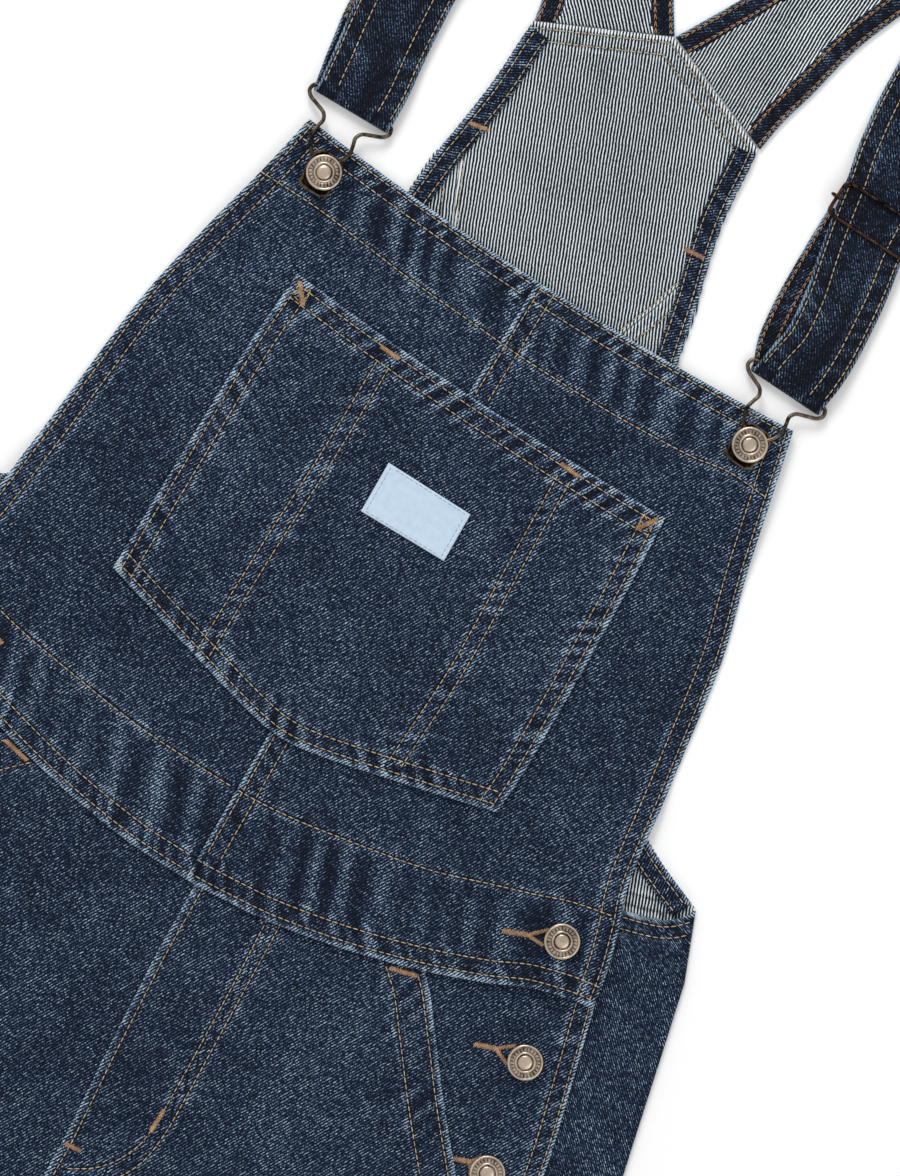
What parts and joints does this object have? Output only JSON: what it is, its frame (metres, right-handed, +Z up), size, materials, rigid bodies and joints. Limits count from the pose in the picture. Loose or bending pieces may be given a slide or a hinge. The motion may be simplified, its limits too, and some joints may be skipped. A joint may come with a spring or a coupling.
{
  "type": "denim bib overalls",
  "caption": "Denim bib overalls laid flat and face up, with a bib pocket, slanted hand pockets, side button plackets, wire hooks and adjusting slides.",
  "frame": {"origin": "middle of the garment's outline, on the surface it lies on", "axes": "+X to the wearer's left, +Y from the hems to the straps, +Z up off the surface"},
  "size_m": [0.556, 1.678, 0.0115],
  "materials": {
    "denim_face": "washed indigo twill with abraded ridges at the seams",
    "denim_reverse": "pale reverse of the twill",
    "denim_dark": "unfaded indigo twill",
    "label_tape": "pale woven tape",
    "button_metal": "antiqued pewter over copper",
    "hook_wire": "dull antiqued brass wire and plate",
    "slide_wire": "dark bronze wire"
  },
  "bodies": {
    "root": {"bib_left": "denim_face", "bib_right": "denim_face", "bib_pocket": "denim_face", "pocket_label": "label_tape", "front_leg_left": "denim_face", "side_facing_left": "denim_face", "back_leg_left": "denim_face", "front_leg_right": "denim_face", "side_facing_right": "denim_face", "back_leg_right": "denim_face", "back_yoke": "denim_reverse", "armhole_facing_left": "denim_dark", "strap_back_left": "denim_reverse", "strap_front_left": "denim_face", "hook_wire_left": "hook_wire", "hook_plate_left": "hook_wire", "slide_frame_left": "slide_wire", "slide_bar_left": "slide_wire", "bib_button_left": "button_metal", "side_button_left_1": "button_metal", "side_button_left_2": "button_metal", "side_button_left_3": "button_metal", "armhole_facing_right": "denim_dark", "strap_back_right": "denim_reverse", "strap_front_right": "denim_face", "hook_wire_right": "hook_wire", "hook_plate_right": "hook_wire", "slide_frame_right": "slide_wire", "slide_bar_right": "slide_wire", "bib_button_right": "button_metal", "side_button_right_1": "button_metal", "side_button_right_2": "button_metal", "side_button_right_3": "button_metal"}
  },
  "joints": []
}
